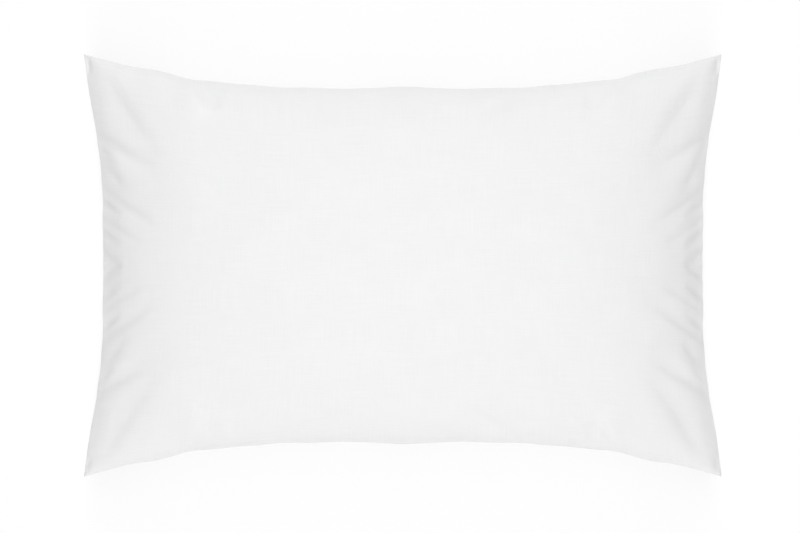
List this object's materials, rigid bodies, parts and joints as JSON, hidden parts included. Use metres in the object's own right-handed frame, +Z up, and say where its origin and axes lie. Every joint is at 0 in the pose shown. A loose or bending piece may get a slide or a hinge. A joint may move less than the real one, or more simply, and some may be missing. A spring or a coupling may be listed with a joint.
{
  "type": "filled pillowcase",
  "caption": "Plain white cotton pillowcase with its pillow inside: a crowned, filled rectangle with drawn-in sides, pointed ears and a thin turned-in seam all round.",
  "frame": {"origin": "middle of the foot, on the surface that the case lies on", "axes": "+X along the case's length, +Y along its width, +Z up through the crown"},
  "size_m": [0.744, 0.493, 0.1718],
  "materials": {
    "cotton": "matt plain-weave white cotton"
  },
  "bodies": {
    "root": {"pillowcase": "cotton"}
  },
  "joints": []
}
